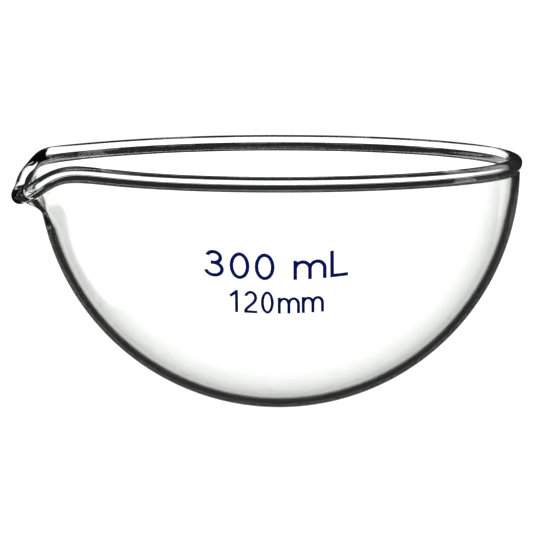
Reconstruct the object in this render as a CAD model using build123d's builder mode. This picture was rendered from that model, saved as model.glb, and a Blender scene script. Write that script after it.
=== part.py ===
"""Round-bottom glass evaporating dish, 120 mm across the rim, with a beaded rim and a pouring spout.

Millimetres, +Z up.  The origin is the lowest point of the bowl, on its vertical axis, and the spout
points along -X, so the XZ plane is the dish's plane of symmetry.  Angles are in degrees.
"""
from build123d import *
from math import asin, cos, cosh, exp, radians, sin, sqrt
import os

# --- bowl ---
rim_diameter = 120.0        # outside of the rim bead
bowl_radius = 59.5          # outside of the spherical bowl
wall = 1.6
bead_radius = 1.8           # fire-polished bead round the rim
bead_lift = 0.9             # bead's centre above the sphere's centre
wall_outset = 0.4           # middle of the wall outside the bead's centre, where they meet
rim_lean = -2.0             # how far the wall leans outward there

# --- spout: widths are angles from the spout's middle, round the dish ---
pulled_half_angle = 80.0    # all of the rim that is out of round lies within this
rim_swell = 1.6             # how far the rim bulges towards the spout
spout_reach = 4.8           # how much further the lip is drawn outward
reach_width = 9.5
spout_dip = 8.6             # how far the lip is pressed down
dip_width = 14.0
shoulder_lift = 1.4         # rise of the rim on each side of the spout
shoulder_width = 30.0
lip_flare = 72.0            # how far the wall turns outward under the lip
flare_width = 15.0
lip_growth = 0.2            # extra bead radius at the lip
growth_width = 30.0
spout_depth = 14.4          # the spout's wall leaves the sphere this far below the sphere's centre
lower_handle = 4.2          # Bezier handles of the reshaped wall
upper_handle = 4.4
section_step = 4.0          # angle between the sections that the spout is drawn through
join_tolerance = 1e-4

# --- printed marks ---
mark_angle = 78.1           # from the spout, round the dish towards -Y
mark_latitude = 22.0        # below the sphere's equator
enamel = 0.05               # thickness of the fired print
press_depth = 12.0          # how far round the bowl the print reaches
capacity_text = "300 mL"
capacity_height = 7.0       # capital height
capacity_width = 7.35       # scale of the letters' widths
capacity_stroke = 0.9      # width of the pen
capacity_baseline = -0.2    # counted from the middle of the print
size_text = "120mm"
size_height = 6.4
size_width = 4.8
size_stroke = 0.75
size_baseline = -9.7
x_height = 0.73             # of a small letter, as a share of the capital height

inner_radius = bowl_radius - wall
bead_ring_radius = rim_diameter / 2 - bead_radius
spout_base = bowl_radius - spout_depth


def hump(angle, width):
    """Bell curve that is 1 at angle 0."""
    return exp(-((angle / width) ** 2))


def bead_centre(angle):
    """Radius and height of the rim bead's centre, at an angle from the spout's middle."""
    window = cos(radians(90 * angle / pulled_half_angle)) ** 2
    reach = rim_swell * window**2 + spout_reach * window / cosh(angle / reach_width)
    rise = shoulder_lift * hump(angle, shoulder_width) - spout_dip * hump(angle, dip_width)
    return Vector(bead_ring_radius + reach, bowl_radius + bead_lift + rise)


def sphere_point(radius, below):
    """Radius and height on a sphere about the bowl's centre, this angle below its equator."""
    return Vector(radius * cos(radians(below)), bowl_radius - radius * sin(radians(below)))


def spout_foot(radius):
    """Where a sphere about the bowl's centre crosses the spout's base, and its direction there."""
    slope = asin(spout_depth / radius)
    return Vector(radius * cos(slope), spout_base), Vector(sin(slope), cos(slope))


def upper_wall(angle):
    """Draw the wall and bead above the spout's base, as radius against height.

    Returns the feet of the outer and inner faces.
    """
    centre = bead_centre(angle)
    bead = bead_radius + lip_growth * hump(angle, growth_width)
    lean = radians(rim_lean + lip_flare * hump(angle, flare_width))
    along = Vector(sin(lean), cos(lean))
    across = Vector(cos(lean), -sin(lean))
    outer_neck, inner_neck = (
        centre + across * gap - along * sqrt(bead**2 - gap**2)
        for gap in (wall_outset + wall / 2, wall_outset - wall / 2)
    )
    outer_foot, outer_rise = spout_foot(bowl_radius)
    inner_foot, inner_rise = spout_foot(inner_radius)
    Bezier(
        outer_foot,
        outer_foot + outer_rise * lower_handle,
        outer_neck - along * upper_handle,
        outer_neck,
    )
    ThreePointArc(outer_neck, centre + along * bead, inner_neck)
    Bezier(
        inner_neck,
        inner_neck - along * upper_handle,
        inner_foot + inner_rise * lower_handle,
        inner_foot,
    )
    return outer_foot, inner_foot


def outward(angle):
    """Horizontal direction at an angle from the spout's middle, round the dish towards -Y."""
    return Vector(-cos(radians(angle)), -sin(radians(angle)), 0)


# ---------------------------------------------------------------- the glass
# The round bowl with its rim, open on the side that the spout is pulled from
with BuildPart() as bowl:
    with BuildSketch(Plane.XZ):
        with BuildLine():
            outer_top, inner_top = upper_wall(pulled_half_angle)
            ThreePointArc((0, 0), sphere_point(bowl_radius, 45), outer_top)
            ThreePointArc(inner_top, sphere_point(inner_radius, 45), (0, wall))
            Line((0, wall), (0, 0))
        make_face()
    revolve(axis=Axis.Z)

    with BuildSketch(Plane.XY.offset(spout_base)):
        with BuildLine():
            first, middle, last = (
                outward(side * pulled_half_angle) * rim_diameter for side in (-1, 0, 1)
            )
            Polyline(first, (0, 0), last)
            ThreePointArc(first, middle, last)
        make_face()
    extrude(amount=rim_diameter, mode=Mode.SUBTRACT)

# The spout's side of the rim, drawn through radial sections of the wall
with BuildPart() as spout:
    for section in range(round(2 * pulled_half_angle / section_step) + 1):
        angle = section * section_step - pulled_half_angle
        facing = outward(angle)
        with BuildSketch(Plane((0, 0, 0), x_dir=facing, z_dir=facing.cross(Vector(0, 0, 1)))):
            with BuildLine():
                outer_top, inner_top = upper_wall(angle)
                Line(inner_top, outer_top)
            make_face()
    loft()

# One continuous piece of glass.  The two meet face to face, along edges that agree to join_tolerance.
with BuildPart() as glass_dish:
    add(bowl.part.fuse(spout.part, tol=join_tolerance))


# ---------------------------------------------------------------- the printed marks
# Each sign is drawn with a pen of even width, from its left edge on the baseline.  Its box is `width`
# wide and `height` high, and `advance` holds how far it is to the next sign, in the same widths.
advance = {"0": 0.82, "1": 0.82, "2": 0.82, "3": 0.82, "m": 1.2, "L": 0.66, " ": 0.42}


def straight(pen, *points):
    with BuildLine() as path:
        Polyline(*points)
    trace(path.line, line_width=pen)


def draw_zero(left, foot, width, height, pen):
    with Locations((left + 0.385 * width, foot + height / 2)):
        Ellipse(0.325 * width, height / 2)
        Ellipse(0.325 * width - pen, height / 2 - pen, mode=Mode.SUBTRACT)


def draw_one(left, foot, width, height, pen):
    stem = left + 0.48 * width
    straight(pen, (stem, foot), (stem, foot + height))
    straight(pen, (left + 0.16 * width, foot + 0.72 * height), (stem, foot + height - pen / 2))


def draw_two(left, foot, width, height, pen):
    bowl = (0.25 * width, 0.24 * height)
    middle = (left + 0.37 * width, foot + height - pen / 2 - bowl[1])
    low = foot + pen / 2
    with BuildLine() as path:
        top = EllipticalCenterArc(middle, *bowl, start_angle=165, arc_size=-195)
        bend = top @ 1 + (top % 1) * (0.25 * height)
        Bezier(top @ 1, bend, (left + 0.14 * width, foot + 0.28 * height), (left + 0.1 * width, low))
    trace(path.line, line_width=pen)
    straight(pen, (left + 0.04 * width, low), (left + 0.7 * width, low))


def draw_three(left, foot, width, height, pen):
    waist = foot + 0.54 * height
    axis = left + 0.36 * width
    upper = (foot + height - pen / 2 - waist) / 2
    lower = (waist - foot - pen / 2) / 2
    with BuildLine() as top:
        EllipticalCenterArc((axis, waist + upper), 0.22 * width, upper, start_angle=165, arc_size=-255)
    trace(top.line, line_width=pen)
    with BuildLine() as bottom:
        EllipticalCenterArc((axis, waist - lower), 0.27 * width, lower, start_angle=90, arc_size=-255)
    trace(bottom.line, line_width=pen)
    straight(pen, (axis - 0.1 * width, waist), (axis, waist))


def draw_small_m(left, foot, width, height, pen):
    arch = (0.24 * width, 0.26 * height)
    shoulder = foot + x_height * height - pen / 2 - arch[1]
    stem = left + 0.08 * width + pen / 2
    straight(pen, (stem, foot), (stem, foot + x_height * height))
    for crown in (stem + arch[0], stem + 3 * arch[0]):
        with BuildLine() as path:
            EllipticalCenterArc((crown, shoulder), *arch, start_angle=180, arc_size=-180)
            Line((crown + arch[0], shoulder), (crown + arch[0], foot))
        trace(path.line, line_width=pen)


def draw_capital_l(left, foot, width, height, pen):
    stem = left + 0.08 * width + pen / 2
    low = foot + pen / 2
    straight(pen, (stem, foot + height), (stem, low), (left + 0.66 * width, low))


signs = {
    "0": draw_zero,
    "1": draw_one,
    "2": draw_two,
    "3": draw_three,
    "m": draw_small_m,
    "L": draw_capital_l,
}


def write(text, height, width, pen, baseline):
    """Draw a centred line of text in the sketch."""
    left = -sum(advance[sign] for sign in text) * width / 2
    for sign in text:
        if sign in signs:
            signs[sign](left, baseline, width, height, pen)
        left += advance[sign] * width


facing = outward(mark_angle)
press = facing * cos(radians(mark_latitude)) - Vector(0, 0, sin(radians(mark_latitude)))
print_plane = Plane(
    Vector(0, 0, bowl_radius) + press * (bowl_radius + 1),
    x_dir=Vector(0, 0, 1).cross(facing),
    z_dir=press,
)


def press_on_bowl():
    """Turn the sketch on the print plane into a film on the bowl's outer face."""
    extrude(amount=-press_depth)
    with Locations((0, 0, bowl_radius)):
        Sphere(bowl_radius + enamel, mode=Mode.INTERSECT)
        Sphere(bowl_radius, mode=Mode.SUBTRACT)


with BuildPart() as capacity_mark:
    with BuildSketch(print_plane):
        write(capacity_text, capacity_height, capacity_width, capacity_stroke, capacity_baseline)
    press_on_bowl()

with BuildPart() as size_mark:
    with BuildSketch(print_plane):
        write(size_text, size_height, size_width, size_stroke, size_baseline)
    press_on_bowl()


# ---------------------------------------------------------------- files
glass_dish.part.label = "glass_dish"
capacity_mark.part.label = "capacity_mark"
size_mark.part.label = "size_mark"

os.makedirs("parts", exist_ok=True)
export_step(glass_dish.part, "parts/glass_dish.step")
export_step(capacity_mark.part, "parts/capacity_mark.step")
export_step(size_mark.part, "parts/size_mark.step")
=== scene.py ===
"""Blender looks of the round-bottom evaporating dish: clear glass with a beaded rim, a pulled spout and
dark blue enamel marks, on a plain pale floor.  Sizes are in millimetres and become metres in the meshes.
"""

from math import acos, asin, cos, pi, radians, sin, sqrt, tan

import bpy
import numpy as np
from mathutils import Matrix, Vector


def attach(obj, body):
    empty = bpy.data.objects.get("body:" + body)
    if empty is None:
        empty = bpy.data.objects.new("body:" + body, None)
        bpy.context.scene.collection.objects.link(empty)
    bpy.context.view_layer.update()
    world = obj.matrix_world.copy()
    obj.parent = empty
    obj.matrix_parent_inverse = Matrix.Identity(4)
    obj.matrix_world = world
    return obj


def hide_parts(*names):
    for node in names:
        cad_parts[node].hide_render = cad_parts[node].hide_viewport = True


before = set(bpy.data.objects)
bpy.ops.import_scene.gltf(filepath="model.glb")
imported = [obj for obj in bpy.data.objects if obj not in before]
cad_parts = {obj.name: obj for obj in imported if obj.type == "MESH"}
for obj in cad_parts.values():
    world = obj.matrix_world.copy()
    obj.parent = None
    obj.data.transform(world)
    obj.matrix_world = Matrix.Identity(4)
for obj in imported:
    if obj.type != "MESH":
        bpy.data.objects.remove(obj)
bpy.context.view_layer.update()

MM = 0.001

# --- bowl, as in the CAD part ---
RIM_RADIUS = 60.0           # outside of the rim bead
BOWL_RADIUS = 59.5          # outside of the spherical bowl
WALL = 1.6
BEAD_RADIUS = 1.8
BEAD_LIFT = 0.9             # bead's centre above the sphere's centre
WALL_OUTSET = 0.4           # middle of the wall outside the bead's centre, where they meet
RIM_LEAN = -2.0             # degrees the wall leans outward where it meets the bead

# --- spout: widths are degrees from the spout's middle, round the dish ---
PULLED_HALF_ANGLE = 80.0
RIM_SWELL = 1.6
SPOUT_REACH = 4.8
REACH_WIDTH = 9.5
SPOUT_DIP = 8.6
DIP_WIDTH = 14.0
SHOULDER_LIFT = 1.4
SHOULDER_WIDTH = 30.0
LIP_FLARE = 72.0
FLARE_WIDTH = 15.0
LIP_GROWTH = 0.2
GROWTH_WIDTH = 30.0
SPOUT_DEPTH = 14.4
TOOL_MARKS = (              # where the bead is thinner: degrees from the middle, width and depth
    (-17.0, 6.0, 0.50),
    (-6.0, 3.0, 0.45),
    (4.0, 2.5, 0.30),
)
LOWER_HANDLE = 4.2
UPPER_HANDLE = 4.4

# --- mesh of the glass ---
SPHERE_STEPS = 44           # rings from the pole to the spout's base, on each face
WALL_STEPS = 48             # rings up the reshaped wall, on each face
BEAD_STEPS = 52             # rings round the bead
MERIDIANS = 540
CROWDING = 0.45             # 0 spreads the meridians evenly, towards 1 they gather at the spout
BLEND_PASSES = 1            # smoothing where the wall runs into the bead
BLEND_REACH = 8             # rings on each side that the smoothing reaches

# --- camera ---
VIEW_TURN = 11.0            # degrees that the camera stands round from -Y, towards the spout
VIEW_RISE = 5.15            # degrees above the rim's plane
VIEW_DISTANCE = 2000.0
LENS = 549.0
AIM_RIGHT = -3.05           # from the sphere's centre to the middle of the view
AIM_DOWN = 24.7
FAR_CLIP = 20.0             # metres

# --- lit card behind the dish ---
CARD_LIGHT = 1.45
CARD_DISTANCE = 230.0       # from the dish's axis
CARD_RADIUS = 107.0         # round the point on the card where the camera sees the sphere's centre
CARD_FADE = 14.0            # half the width of its soft edge
CARD_OFFSET = -2.0          # of its middle, where below 0 is towards the spout
CARD_TOP = 48.5
CARD_STEPS = 96

# --- lit panels far off in a dark studio, as directions from the dish in degrees ---
DARK_LIGHT = 0.02
PANEL_LIGHT = 1.6
PANEL_RADIUS = 11.5
PANEL_EDGE = 1.0            # half the width of a panel's soft edge
TABLE_EDGE = 73.0           # how far below the horizon the light table under the dish begins
TABLE_FULL = 76.0           # and where it is fully lit
SIDE_PANELS = (             # direction clockwise from +Y, then the lowest and highest heights of the middle
    (-45, -26, -24),
    (-90, -4, -3),
    (-135, -16, -14),
    (180, -16, -14),
    (135, -16, -14),
    (90, -12, -4),
)

# --- soft box and floor, in metres ---
SOFT_BOX_PLACE = (-0.3, -0.9, 0.75)
SOFT_BOX_SIZE = 0.6
SOFT_BOX_WATTS = 8.0
FLOOR_REACH = 6.0
FLOOR_CORNERS = 64
FLOOR_SHADE = 0.9
FLOOR_GLOW = 1.0

# --- glass ---
GLASS_IOR = 1.473
GLASS_TINT = (0.985, 0.992, 0.985)
# painted shade: the glass's colour turns this dark where it is seen almost edge-on, standing in for the
# dark outline of refracted surroundings
EDGE_PAINTED_SHADE = (0.012, 0.012, 0.010)
EDGE_FROM = 0.80            # layer weight facing where the painted shade on the edge begins
EDGE_FULL = 0.87
WAVE_CELL = 14.0
WAVE_DEPTH = 0.004

# --- enamel ---
ENAMEL_BLUES = ((0.003, 0.014, 0.26), (0.005, 0.020, 0.32))
ENAMEL_ROUGHNESS = (0.28, 0.5)
MOTTLE_CELL = 1.1
MOTTLE_RANGE = (0.35, 0.65)     # noise levels between which one blue turns into the other
GRAIN_CELL = 0.15
GRAIN_DEPTH = 0.004

# --- render: how often light may pass through or bounce off glass ---
PASSES = 24
REFLECTIONS = 12

INNER_RADIUS = BOWL_RADIUS - WALL


# ---------------------------------------------------------------- the glass
def hump(angle, width):
    return np.exp(-((angle / width) ** 2))


def sphere_arc(radius):
    """An arc from the pole to the spout's base, where it ends, and its direction there."""
    slope = asin(SPOUT_DEPTH / radius)
    angles = np.linspace(0, pi / 2 - slope, SPHERE_STEPS, endpoint=False)[:, None]
    arc = np.hstack([radius * np.sin(angles), BOWL_RADIUS - radius * np.cos(angles)])
    foot = np.array([radius * cos(slope), BOWL_RADIUS - SPOUT_DEPTH])
    return arc, foot, np.array([sin(slope), cos(slope)])


def rising_wall(foot, foot_direction, top, top_direction):
    t = np.linspace(0, 1, WALL_STEPS, endpoint=False)[:, None]
    low_handle = foot + foot_direction * LOWER_HANDLE
    high_handle = top - top_direction * UPPER_HANDLE
    return (
        foot * (1 - t) ** 3
        + 3 * low_handle * t * (1 - t) ** 2
        + 3 * high_handle * t**2 * (1 - t)
        + top * t**3
    )


def blended(profile, corner):
    """The profile with the corner at that ring rounded into a small fillet."""
    part = slice(corner - BLEND_REACH, corner + BLEND_REACH + 1)
    span = profile[part].copy()
    for _ in range(BLEND_PASSES):
        span[1:-1] = (span[:-2] + 2 * span[1:-1] + span[2:]) / 4
    profile[part] = span
    return profile


def dish_profile(angle):
    """Ring positions (radius, height), outside then inside, at one angle from the spout's middle."""
    window = cos(radians(90 * angle / PULLED_HALF_ANGLE)) ** 2 if abs(angle) < PULLED_HALF_ANGLE else 0.0
    reach = RIM_SWELL * window**2 + SPOUT_REACH * window / np.cosh(angle / REACH_WIDTH)
    rise = SHOULDER_LIFT * hump(angle, SHOULDER_WIDTH) - SPOUT_DIP * hump(angle, DIP_WIDTH)
    centre = np.array([RIM_RADIUS - BEAD_RADIUS + reach, BOWL_RADIUS + BEAD_LIFT + rise])
    bead = BEAD_RADIUS + LIP_GROWTH * hump(angle, GROWTH_WIDTH)
    bead -= sum(depth * hump(angle - place, width) for place, width, depth in TOOL_MARKS)
    lean = radians(RIM_LEAN + LIP_FLARE * hump(angle, FLARE_WIDTH))
    along = np.array([sin(lean), cos(lean)])
    across = np.array([cos(lean), -sin(lean)])
    outer_gap, inner_gap = WALL_OUTSET + WALL / 2, WALL_OUTSET - WALL / 2
    outer_neck = centre + across * outer_gap - along * sqrt(bead**2 - outer_gap**2)
    inner_neck = centre + across * inner_gap - along * sqrt(bead**2 - inner_gap**2)

    outer_arc, outer_foot, outer_rise = sphere_arc(BOWL_RADIUS)
    inner_arc, inner_foot, inner_rise = sphere_arc(INNER_RADIUS)
    outer = rising_wall(outer_foot, outer_rise, outer_neck, along)
    inner = rising_wall(inner_foot, inner_rise, inner_neck, along)
    swing = np.linspace(-acos(outer_gap / bead), pi + acos(-inner_gap / bead), BEAD_STEPS)[:, None]
    ring = centre + bead * (np.cos(swing) * across + np.sin(swing) * along)
    profile = np.vstack([outer_arc, outer, ring, inner[::-1], inner_arc[::-1]])
    first = SPHERE_STEPS + WALL_STEPS
    return blended(blended(profile, first), first + BEAD_STEPS - 1)


def glass_dish():
    steps = np.linspace(-1, 1, MERIDIANS, endpoint=False)
    angles = 180 * (steps * (1 - CROWDING) + CROWDING * steps**3)
    rings = np.stack([dish_profile(a) for a in angles])           # meridian, ring, (radius, height)
    facing = np.radians(angles)[:, None]
    points = np.stack([
        -rings[:, :, 0] * np.cos(facing),
        -rings[:, :, 0] * np.sin(facing),
        rings[:, :, 1],
    ], axis=-1)
    count = points.shape[1] - 2                                    # rings without the two poles
    body = points[:, 1:-1].reshape(-1, 3)
    outer_pole, inner_pole = len(body), len(body) + 1
    vertices = np.vstack([body, points[0, 0], points[0, -1]]) * MM
    faces = []
    for m in range(MERIDIANS):
        here = m * count
        there = (m + 1) % MERIDIANS * count
        faces.append((there, here, outer_pole))
        faces += [(there + r, there + r + 1, here + r + 1, here + r) for r in range(count - 1)]
        faces.append((there + count - 1, inner_pole, here + count - 1))
    mesh = bpy.data.meshes.new("glass_dish_surface")
    mesh.from_pydata(vertices.tolist(), [], faces)
    mesh.shade_smooth()
    dish = bpy.data.objects.new("clear_glass_dish", mesh)
    bpy.context.collection.objects.link(dish)
    return dish


# ---------------------------------------------------------------- materials
def new_material(name):
    material = bpy.data.materials.new(name)
    material.use_nodes = True
    tree = material.node_tree
    return material, tree.nodes, tree.links, tree.nodes["Principled BSDF"]


def ramp_between(nodes, links, value, start, end):
    """0 on start's side, 1 on end's side, and a smooth step between them."""
    ramp = nodes.new("ShaderNodeMapRange")
    ramp.interpolation_type = "SMOOTHSTEP"
    ramp.inputs["From Min"].default_value = start
    ramp.inputs["From Max"].default_value = end
    links.new(value, ramp.inputs["Value"])
    return ramp.outputs["Result"]


def mixed_colour(nodes, links, factor, first, second):
    mix = nodes.new("ShaderNodeMixRGB")
    links.new(factor, mix.inputs["Fac"])
    mix.inputs["Color1"].default_value = (*first, 1)
    mix.inputs["Color2"].default_value = (*second, 1)
    return mix.outputs["Color"]


def noise(nodes, links, cell, detail):
    """Noise over the object whose lumps are about that many millimetres across."""
    texture = nodes.new("ShaderNodeTexNoise")
    texture.inputs["Scale"].default_value = 1 / (cell * MM)
    texture.inputs["Detail"].default_value = detail
    links.new(nodes.new("ShaderNodeTexCoord").outputs["Object"], texture.inputs["Vector"])
    return texture.outputs["Fac"]


def reckoned(nodes, links, operation, *values):
    """A Math node fed by sockets or plain numbers; gives its output socket."""
    node = nodes.new("ShaderNodeMath")
    node.operation = operation
    for socket, value in zip(node.inputs, values):
        if isinstance(value, (int, float)):
            socket.default_value = value
        else:
            links.new(value, socket)
    return node.outputs[0]


def bumped(nodes, links, height, depth, shader):
    bump = nodes.new("ShaderNodeBump")
    bump.inputs["Distance"].default_value = depth * MM
    links.new(height, bump.inputs["Height"])
    links.new(bump.outputs["Normal"], shader.inputs["Normal"])


def glass_material():
    """Clear glass whose colour is darkened by painted shade where it is seen almost edge-on, with very
    slightly wavy faces.
    """
    material, nodes, links, shader = new_material("borosilicate_glass")
    shader.inputs["Roughness"].default_value = 0.0
    shader.inputs["IOR"].default_value = GLASS_IOR
    shader.inputs["Transmission Weight"].default_value = 1.0
    # painted shade: the base colour goes dark where the glass is seen almost edge-on
    facing = nodes.new("ShaderNodeLayerWeight").outputs["Facing"]
    edge = ramp_between(nodes, links, facing, EDGE_FROM, EDGE_FULL)
    tint_and_painted_shade = mixed_colour(nodes, links, edge, GLASS_TINT, EDGE_PAINTED_SHADE)
    links.new(tint_and_painted_shade, shader.inputs["Base Color"])
    bumped(nodes, links, noise(nodes, links, WAVE_CELL, 1.0), WAVE_DEPTH, shader)
    return material


def enamel_material():
    """Fired enamel: dark blue, faintly mottled in colour and gloss, with a fine grain."""
    material, nodes, links, shader = new_material("blue_enamel")
    mottle = noise(nodes, links, MOTTLE_CELL, 3.0)
    colour = mixed_colour(nodes, links, ramp_between(nodes, links, mottle, *MOTTLE_RANGE), *ENAMEL_BLUES)
    links.new(colour, shader.inputs["Base Color"])
    gloss = nodes.new("ShaderNodeMapRange")
    gloss.inputs["To Min"].default_value, gloss.inputs["To Max"].default_value = ENAMEL_ROUGHNESS
    links.new(mottle, gloss.inputs["Value"])
    links.new(gloss.outputs["Result"], shader.inputs["Roughness"])
    bumped(nodes, links, noise(nodes, links, GRAIN_CELL, 2.0), GRAIN_DEPTH, shader)
    return material


# ---------------------------------------------------------------- studio
def view_axes():
    """Unit vectors from the dish to the camera, to the picture's right, and up in the picture."""
    turn, rise = radians(VIEW_TURN), radians(VIEW_RISE)
    back = Vector((-sin(turn) * cos(rise), -cos(turn) * cos(rise), sin(rise)))
    right = Vector((cos(turn), -sin(turn), 0))
    return back, right, back.cross(right)


def place_camera():
    back, right, up = view_axes()
    centre = Vector((0, 0, BOWL_RADIUS))
    target = centre + right * AIM_RIGHT - up * AIM_DOWN
    data = bpy.data.cameras.new("studio_camera")
    data.lens = LENS
    data.clip_end = FAR_CLIP
    camera = bpy.data.objects.new("studio_camera", data)
    bpy.context.collection.objects.link(camera)
    camera.location = (centre + back * VIEW_DISTANCE) * MM
    camera.rotation_mode = "QUATERNION"
    camera.rotation_quaternion = (target * MM - camera.location).to_track_quat("-Z", "Y")
    bpy.context.scene.camera = camera


def back_card():
    """The lit card behind the dish, a disc cut flat at its top.  Only the glass shows it."""
    turn = radians(VIEW_TURN)
    right = Vector((cos(turn), -sin(turn), 0))
    away = Vector((sin(turn), cos(turn), 0))
    height = BOWL_RADIUS - CARD_DISTANCE * tan(radians(VIEW_RISE))
    middle = away * CARD_DISTANCE + right * CARD_OFFSET + Vector((0, 0, height))
    reach = CARD_RADIUS + CARD_FADE
    cut = asin((CARD_TOP - height) / reach)
    swings = np.linspace(pi - cut, 2 * pi + cut, CARD_STEPS)
    corners = [(middle + right * reach * cos(a) + Vector((0, 0, reach * sin(a)))) * MM for a in swings]
    mesh = bpy.data.meshes.new("back_card")
    mesh.from_pydata(corners, [], [range(CARD_STEPS)])
    material, nodes, links, shader = new_material("back_card")
    shader.inputs["Base Color"].default_value = (0, 0, 0, 1)
    shader.inputs["Specular IOR Level"].default_value = 0.0
    shader.inputs["Emission Color"].default_value = (1, 1, 1, 1)
    gap = nodes.new("ShaderNodeVectorMath")
    gap.operation = "DISTANCE"
    links.new(nodes.new("ShaderNodeTexCoord").outputs["Object"], gap.inputs[0])
    gap.inputs[1].default_value = middle * MM
    lit = ramp_between(nodes, links, gap.outputs["Value"], reach * MM, (CARD_RADIUS - CARD_FADE) * MM)
    links.new(reckoned(nodes, links, "MULTIPLY", lit, CARD_LIGHT), shader.inputs["Emission Strength"])
    mesh.materials.append(material)
    card = bpy.data.objects.new("back_card", mesh)
    bpy.context.collection.objects.link(card)
    card.visible_camera = False


def pale_floor():
    """A plain white floor.  Only the camera sees it, so that it takes no light from the glass."""
    turns = np.linspace(0, 2 * pi, FLOOR_CORNERS, endpoint=False)
    corners = [(FLOOR_REACH * cos(a), FLOOR_REACH * sin(a), 0) for a in turns]
    mesh = bpy.data.meshes.new("pale_floor")
    mesh.from_pydata(corners, [], [range(FLOOR_CORNERS)])
    material, nodes, links, shader = new_material("pale_floor")
    shader.inputs["Base Color"].default_value = (FLOOR_SHADE, FLOOR_SHADE, FLOOR_SHADE, 1)
    shader.inputs["Roughness"].default_value = 0.9
    shader.inputs["Emission Color"].default_value = (1, 1, 1, 1)
    shader.inputs["Emission Strength"].default_value = FLOOR_GLOW
    mesh.materials.append(material)
    floor = bpy.data.objects.new("pale_floor", mesh)
    bpy.context.collection.objects.link(floor)
    floor.visible_diffuse = False
    floor.visible_glossy = False
    floor.visible_transmission = False
    floor.visible_shadow = False


def soft_box():
    """A large soft lamp in front of the dish, above it, which lights the enamel."""
    data = bpy.data.lights.new("soft_box", "AREA")
    data.size = SOFT_BOX_SIZE
    data.energy = SOFT_BOX_WATTS
    lamp = bpy.data.objects.new("soft_box", data)
    bpy.context.collection.objects.link(lamp)
    lamp.location = SOFT_BOX_PLACE
    lamp.rotation_mode = "QUATERNION"
    lamp.rotation_quaternion = Vector(SOFT_BOX_PLACE).to_track_quat("Z", "Y")
    lamp.visible_camera = False
    lamp.visible_glossy = False
    lamp.visible_transmission = False


def panel_mask(nodes, links, direction, azimuth, low, high):
    """1 inside a rounded upright panel in that direction, 0 outside it."""
    turned = nodes.new("ShaderNodeVectorRotate")
    turned.rotation_type = "Z_AXIS"
    turned.inputs["Angle"].default_value = radians(azimuth)
    links.new(direction, turned.inputs["Vector"])
    axes = nodes.new("ShaderNodeSeparateXYZ")
    links.new(turned.outputs[0], axes.inputs[0])
    side = reckoned(nodes, links, "ARCTAN2", axes.outputs["X"], axes.outputs["Y"])
    height = reckoned(nodes, links, "ARCSINE", axes.outputs["Z"])
    side = reckoned(nodes, links, "MULTIPLY", side, reckoned(nodes, links, "COSINE", height))
    nearest = reckoned(nodes, links, "MINIMUM", height, radians(high))
    nearest = reckoned(nodes, links, "MAXIMUM", nearest, radians(low))
    above = reckoned(nodes, links, "SUBTRACT", height, nearest)
    squares = reckoned(nodes, links, "MULTIPLY", above, above)
    squares = reckoned(nodes, links, "MULTIPLY_ADD", side, side, squares)
    distance = reckoned(nodes, links, "SQRT", squares)
    outside, inside = radians(PANEL_RADIUS + PANEL_EDGE), radians(PANEL_RADIUS - PANEL_EDGE)
    return ramp_between(nodes, links, distance, outside, inside)


def studio_world():
    """A dark studio with lit panels, which only refracted rays see.  The camera sees plain white."""
    world = bpy.data.worlds.new("studio")
    world.use_nodes = True
    bpy.context.scene.world = world
    nodes, links = world.node_tree.nodes, world.node_tree.links
    background = nodes["Background"]
    direction = nodes.new("ShaderNodeTexCoord").outputs["Generated"]
    axes = nodes.new("ShaderNodeSeparateXYZ")
    links.new(direction, axes.inputs[0])
    table_edge, table_full = -sin(radians(TABLE_EDGE)), -sin(radians(TABLE_FULL))
    lit = ramp_between(nodes, links, axes.outputs["Z"], table_edge, table_full)
    for panel in SIDE_PANELS:
        lit = reckoned(nodes, links, "MAXIMUM", lit, panel_mask(nodes, links, direction, *panel))
    ray = nodes.new("ShaderNodeLightPath")
    lit = reckoned(nodes, links, "MULTIPLY", lit, ray.outputs["Is Transmission Ray"])
    strength = reckoned(nodes, links, "MULTIPLY_ADD", lit, PANEL_LIGHT - DARK_LIGHT, DARK_LIGHT)
    strength = reckoned(nodes, links, "MAXIMUM", strength, ray.outputs["Is Camera Ray"])
    links.new(strength, background.inputs["Strength"])
    background.inputs["Color"].default_value = (1, 1, 1, 1)


dish = glass_dish()
dish.data.materials.append(glass_material())
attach(dish, "root")
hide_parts("glass_dish")
enamel = enamel_material()
for mark in ("capacity_mark", "size_mark"):
    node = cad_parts[mark]
    node.data.materials.clear()
    node.data.materials.append(enamel)
place_camera()
pale_floor()
back_card()
soft_box()
studio_world()
scene = bpy.context.scene
scene.view_settings.view_transform = "Standard"
scene.cycles.max_bounces = PASSES
scene.cycles.transmission_bounces = PASSES
scene.cycles.glossy_bounces = REFLECTIONS
